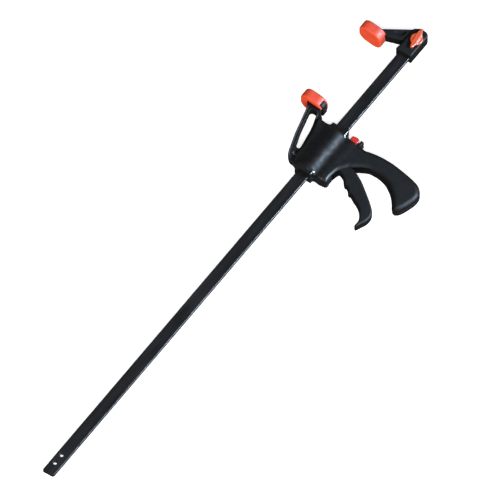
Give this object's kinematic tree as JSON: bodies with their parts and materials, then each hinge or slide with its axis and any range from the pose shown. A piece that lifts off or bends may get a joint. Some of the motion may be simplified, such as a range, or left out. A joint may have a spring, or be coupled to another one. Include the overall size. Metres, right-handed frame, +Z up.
{
  "type": "one-handed bar clamp",
  "caption": "One-handed quick bar clamp: flat steel bar, pinned fixed jaw, sliding head with pistol grip, squeeze trigger and release button, orange rubber pads.",
  "frame": {"origin": "centre of the fixed pad's clamping face", "axes": "the clamp lies on its side: +X along the bar towards the fixed jaw, +Y from the bar towards the pads, +Z up, out of the side with the jaw's lock key"},
  "size_m": [0.8021, 0.2118, 0.035],
  "materials": {
    "black_plastic": "fine satin moulding texture, near black",
    "bar_steel": "black oxide and lacquer on flat steel bar, faint rolling marks",
    "orange_rubber": "matt orange-red non-marring rubber",
    "orange_plastic": "satin orange-red plastic",
    "red_plastic": "smooth red plastic",
    "zinc_steel": "bright zinc-plated steel",
    "spring_steel": "drawn spring wire, slightly dark"
  },
  "bodies": {
    "bar_assembly": {"bar": "bar_steel", "fixed_jaw": "black_plastic", "fixed_pad": "orange_rubber", "jaw_lock_nut": "zinc_steel"},
    "lock_key": {"jaw_lock_key": "orange_plastic", "jaw_lock_pin": "zinc_steel"},
    "head": {"housing_front": "black_plastic", "housing_back": "black_plastic", "housing_screw_1": "zinc_steel", "housing_screw_2": "zinc_steel", "housing_screw_3": "zinc_steel", "housing_screw_4": "zinc_steel", "housing_screw_5": "zinc_steel", "moving_pad": "orange_rubber", "trigger_pin": "zinc_steel", "drive_spring": "spring_steel", "brake_spring": "spring_steel"},
    "trigger_lever": {"trigger": "black_plastic"},
    "drive_plates": {"drive_plate_1": "zinc_steel", "drive_plate_2": "zinc_steel"},
    "brake": {"brake_plate": "zinc_steel", "release_button": "red_plastic"}
  },
  "joints": [
    {"name": "head_slide", "type": "slide", "parent": "bar_assembly", "child": "head", "axis": [1, 0, 0], "range_m": [-0.5, 0.111]},
    {"name": "trigger_pivot", "type": "hinge", "parent": "head", "child": "trigger_lever", "pos_m": [-0.1744, -0.0789, 0], "axis": [0, 0, 1], "range_deg": [0, 22.5], "stiffness_Nm_per_rad": 1.2, "springref_deg": -2.86},
    {"name": "drive_slide", "type": "slide", "parent": "head", "child": "drive_plates", "axis": [1, 0, 0], "range_m": [-0.0058, 0], "deforming": ["drive_spring"]},
    {"name": "release_pivot", "type": "hinge", "parent": "head", "child": "brake", "pos_m": [-0.1474, -0.0379, 0], "axis": [0, 0, 1], "range_deg": [-5.5, 0], "stiffness_Nm_per_rad": 0.5, "springref_deg": 1.15, "deforming": ["brake_spring"]},
    {"name": "key_turn", "type": "hinge", "parent": "bar_assembly", "child": "lock_key", "pos_m": [0.0311, -0.0539, 0], "axis": [0, 0, 1], "range_deg": [0, 90]}
  ],
  "couplings": [
    {"joint": "drive_slide", "follows": "trigger_pivot", "m_per_rad": -0.01432}
  ]
}
